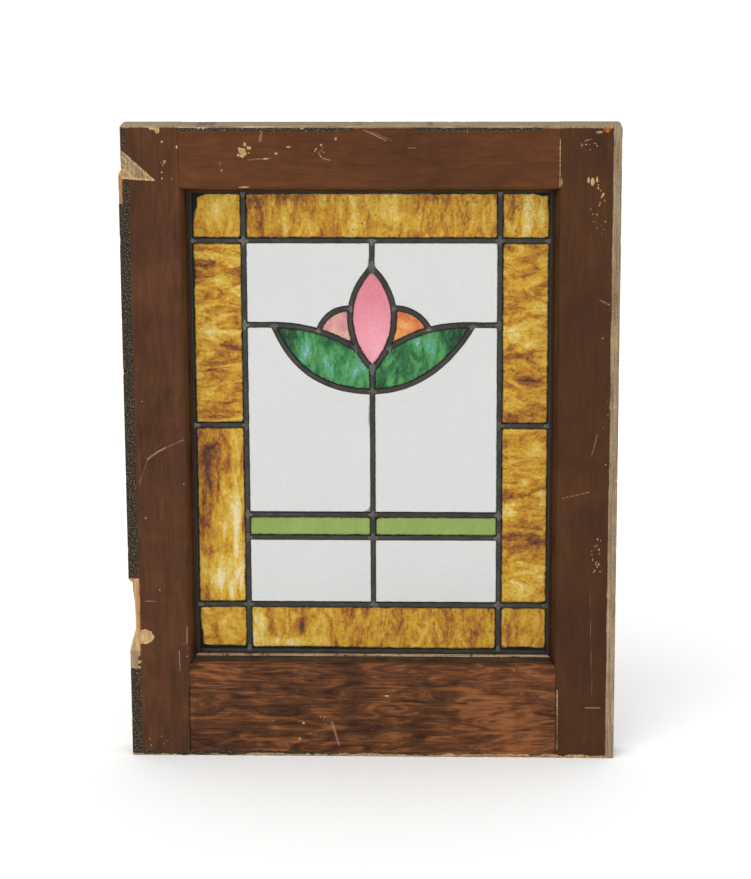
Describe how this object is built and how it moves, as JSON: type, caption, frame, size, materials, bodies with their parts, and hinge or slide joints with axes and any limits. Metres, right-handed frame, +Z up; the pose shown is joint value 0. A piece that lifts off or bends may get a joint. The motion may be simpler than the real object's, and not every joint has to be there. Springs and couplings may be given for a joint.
{
  "type": "stained glass window",
  "caption": "Leaded stained glass window in a worn wooden sash, with a tulip-and-leaf flower, clear panes and an amber border.",
  "frame": {"origin": "centre of the sash's underside, midway across the width and the thickness", "axes": "+Z up the window, -Y out of the moulded room side, +Y out of the puttied side, +X to the right seen from the room side"},
  "size_m": [0.457, 0.035, 0.6],
  "materials": {
    "sash_wood": "old brown varnished softwood, worn and chipped",
    "lead": "dull grey lead came, dark cement along its edges",
    "clear_glass": "clear rolled glass with a fine grain",
    "amber_glass": "amber and cream streaky opalescent glass",
    "pink_glass": "pink opalescent glass",
    "peach_glass": "pale peach opalescent glass",
    "orange_glass": "orange opalescent glass",
    "green_glass": "green glass with blue and white wisps",
    "lime_glass": "lime green opalescent glass",
    "putty": "old hard linseed putty"
  },
  "bodies": {
    "root": {"left_stile": "sash_wood", "right_stile": "sash_wood", "top_rail": "sash_wood", "bottom_rail": "sash_wood", "edge_came_left": "lead", "edge_came_right": "lead", "edge_came_top": "lead", "edge_came_bottom": "lead", "border_came_left": "lead", "border_came_right": "lead", "border_came_top": "lead", "border_came_bottom": "lead", "border_tie_top_left": "lead", "border_tie_middle_left": "lead", "border_tie_bottom_left": "lead", "border_tie_top_right": "lead", "border_tie_middle_right": "lead", "border_tie_bottom_right": "lead", "petal_came_left": "lead", "petal_came_right": "lead", "leaf_came_left": "lead", "leaf_came_right": "lead", "sepal_came_left": "lead", "sepal_came_right": "lead", "upper_stem_came": "lead", "leaf_cup_came": "lead", "leaf_divider_came": "lead", "lower_stem_came": "lead", "bar_came_top_left": "lead", "bar_came_top_right": "lead", "bar_came_bottom_left": "lead", "bar_came_bottom_right": "lead", "border_pane_top": "amber_glass", "border_pane_bottom": "amber_glass", "corner_pane_top_left": "amber_glass", "corner_pane_bottom_left": "amber_glass", "border_pane_upper_left": "amber_glass", "border_pane_lower_left": "amber_glass", "corner_pane_top_right": "amber_glass", "corner_pane_bottom_right": "amber_glass", "border_pane_upper_right": "amber_glass", "border_pane_lower_right": "amber_glass", "clear_pane_upper_left": "clear_glass", "clear_pane_middle_left": "clear_glass", "clear_pane_lower_left": "clear_glass", "clear_pane_upper_right": "clear_glass", "clear_pane_middle_right": "clear_glass", "clear_pane_lower_right": "clear_glass", "bar_pane_left": "lime_glass", "bar_pane_right": "lime_glass", "leaf_pane_left": "green_glass", "leaf_pane_right": "green_glass", "sepal_pane_left": "peach_glass", "sepal_pane_right": "orange_glass", "petal_pane_centre": "pink_glass", "putty_bead_top": "putty", "putty_bead_bottom": "putty", "putty_bead_left": "putty", "putty_bead_right": "putty"}
  },
  "joints": []
}
